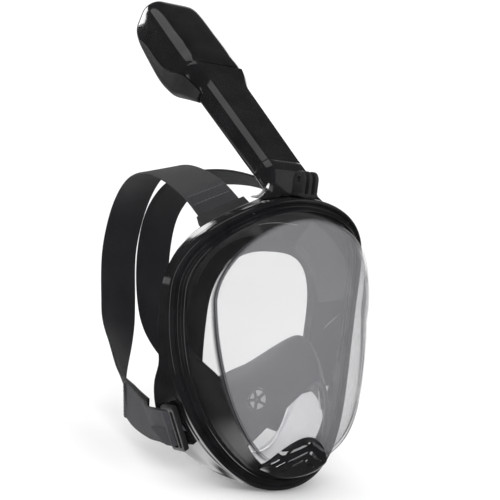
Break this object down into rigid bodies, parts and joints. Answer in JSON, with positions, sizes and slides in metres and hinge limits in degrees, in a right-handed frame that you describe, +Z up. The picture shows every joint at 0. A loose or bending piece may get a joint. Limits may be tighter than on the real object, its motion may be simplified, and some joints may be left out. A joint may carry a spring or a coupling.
{
  "type": "full face snorkel",
  "caption": "Full-face snorkel mask: wrap-round lens, silicone skirt with nose divider, dry-top snorkel that pulls out of its socket, camera mount and two-band harness.",
  "frame": {"origin": "middle of the face opening, where the wearer's face seals against the skirt", "axes": "+Z up the wearer's face, -Y the way the wearer looks, +X the wearer's left"},
  "size_m": [0.193, 0.3378, 0.4104],
  "materials": {
    "gloss_black_abs": "polished injection-moulded ABS",
    "satin_black_abs": "fine satin texture",
    "clear_polycarbonate": "optical clear, polished both sides",
    "black_silicone": "matte liquid silicone",
    "clear_silicone": "translucent valve silicone",
    "white_polypropylene": "semi-gloss white polypropylene",
    "grey_foam": "closed-cell foam",
    "stainless_steel": "plain stainless",
    "black_elastic": "woven elastic webbing"
  },
  "bodies": {
    "mask": {"lens": "clear_polycarbonate", "front_bezel": "gloss_black_abs", "rear_frame": "gloss_black_abs", "face_skirt": "black_silicone", "nose_divider": "black_silicone", "inhale_valve_seat_right": "satin_black_abs", "inhale_valve_seat_left": "satin_black_abs", "chin_valve_seat": "satin_black_abs", "chin_valve_cover": "gloss_black_abs", "camera_mount": "satin_black_abs", "frame_screw_1": "stainless_steel", "frame_screw_2": "stainless_steel", "frame_screw_3": "stainless_steel", "frame_screw_4": "stainless_steel", "frame_screw_5": "stainless_steel", "frame_screw_6": "stainless_steel", "frame_screw_7": "stainless_steel", "frame_screw_8": "stainless_steel", "snorkel_socket": "gloss_black_abs", "button_spring": "stainless_steel", "upper_strap_clip_right": "satin_black_abs", "upper_strap_clip_left": "satin_black_abs", "lower_strap_loop_right": "satin_black_abs", "lower_strap_loop_left": "satin_black_abs", "head_strap_right": "black_elastic", "head_strap_left": "black_elastic", "strap_tab_right": "black_elastic", "strap_tab_left": "black_elastic"},
    "snorkel": {"tube_gasket": "black_silicone", "snorkel_tube": "gloss_black_abs", "head_cap": "gloss_black_abs", "head_shell": "satin_black_abs", "float_cage": "white_polypropylene"},
    "float": {"dry_float": "grey_foam", "float_seal": "black_silicone"},
    "flap_right": {"exhale_flap_right": "black_silicone"},
    "flap_left": {"exhale_flap_left": "black_silicone"},
    "button": {"release_button": "satin_black_abs"},
    "inhale_disc_right": {"inhale_valve_disc_right": "clear_silicone"},
    "inhale_disc_left": {"inhale_valve_disc_left": "clear_silicone"},
    "chin_disc": {"chin_valve_disc": "clear_silicone"}
  },
  "joints": [
    {"name": "snorkel_pull", "type": "slide", "parent": "mask", "child": "snorkel", "axis": [0, 0.8526, 0.5225], "range_m": [0, 0.016]},
    {"name": "button_press", "type": "slide", "parent": "mask", "child": "button", "axis": [0, -0.5225, 0.8526], "range_m": [0, 0.0018], "stiffness_N_per_m": 400, "springref_m": -0.001},
    {"name": "float_rise", "type": "slide", "parent": "snorkel", "child": "float", "axis": [0, 0.8526, 0.5225], "range_m": [0, 0.0096]},
    {"name": "flap_right_lift", "type": "hinge", "parent": "snorkel", "child": "flap_right", "pos_m": [-0.0168, 0.18518, 0.25096], "axis": [0, -0.5225, 0.8526], "range_deg": [0, 45], "stiffness_Nm_per_rad": 0.002},
    {"name": "flap_left_lift", "type": "hinge", "parent": "snorkel", "child": "flap_left", "pos_m": [0.0168, 0.18518, 0.25096], "axis": [0, 0.5225, -0.8526], "range_deg": [0, 45], "stiffness_Nm_per_rad": 0.002},
    {"name": "inhale_right_open", "type": "slide", "parent": "mask", "child": "inhale_disc_right", "axis": [0.8262, 0.529, -0.1937], "range_m": [0, 0.0012], "stiffness_N_per_m": 30},
    {"name": "inhale_left_open", "type": "slide", "parent": "mask", "child": "inhale_disc_left", "axis": [-0.8262, 0.529, -0.1937], "range_m": [0, 0.0012], "stiffness_N_per_m": 30},
    {"name": "chin_disc_open", "type": "slide", "parent": "mask", "child": "chin_disc", "axis": [0, -0.8661, -0.4999], "range_m": [0, 0.0015], "stiffness_N_per_m": 40}
  ]
}
